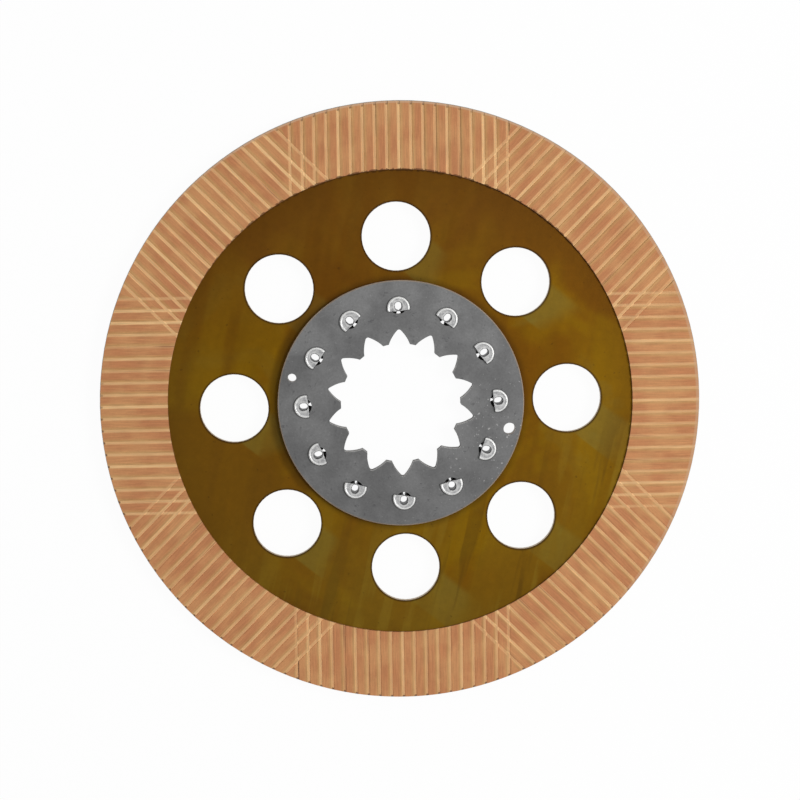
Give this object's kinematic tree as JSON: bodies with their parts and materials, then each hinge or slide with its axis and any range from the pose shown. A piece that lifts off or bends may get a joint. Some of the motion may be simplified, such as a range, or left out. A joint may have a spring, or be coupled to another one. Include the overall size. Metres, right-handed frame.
{
  "type": "wet brake friction disc",
  "caption": "Splined wet brake disc: a varnished steel core plate with lightening holes, grooved paper linings on both faces and a riveted steel hub.",
  "frame": {"origin": "on the disc's axis at the middle of its thickness", "axes": "+Z along the disc's axis out of the pictured face, +Y towards one lightening hole and one rivet"},
  "size_m": [0.3308, 0.3308, 0.0116],
  "materials": {
    "varnished_steel": "glossy amber-brown varnish over steel, with cloudy streaks",
    "friction_paper": "matt tan friction paper, lighter in the grooves",
    "hub_steel": "satin grey phosphated steel with fine scratches",
    "rivet_steel": "bright zinc-plated steel"
  },
  "bodies": {
    "root": {"core_plate": "varnished_steel", "front_lining": "friction_paper", "rear_lining": "friction_paper", "front_hub_plate": "hub_steel", "rear_hub_plate": "hub_steel", "rivet_01": "rivet_steel", "rivet_02": "rivet_steel", "rivet_03": "rivet_steel", "rivet_04": "rivet_steel", "rivet_05": "rivet_steel", "rivet_06": "rivet_steel", "rivet_07": "rivet_steel", "rivet_08": "rivet_steel", "rivet_09": "rivet_steel", "rivet_10": "rivet_steel", "rivet_11": "rivet_steel", "rivet_12": "rivet_steel"}
  },
  "joints": []
}
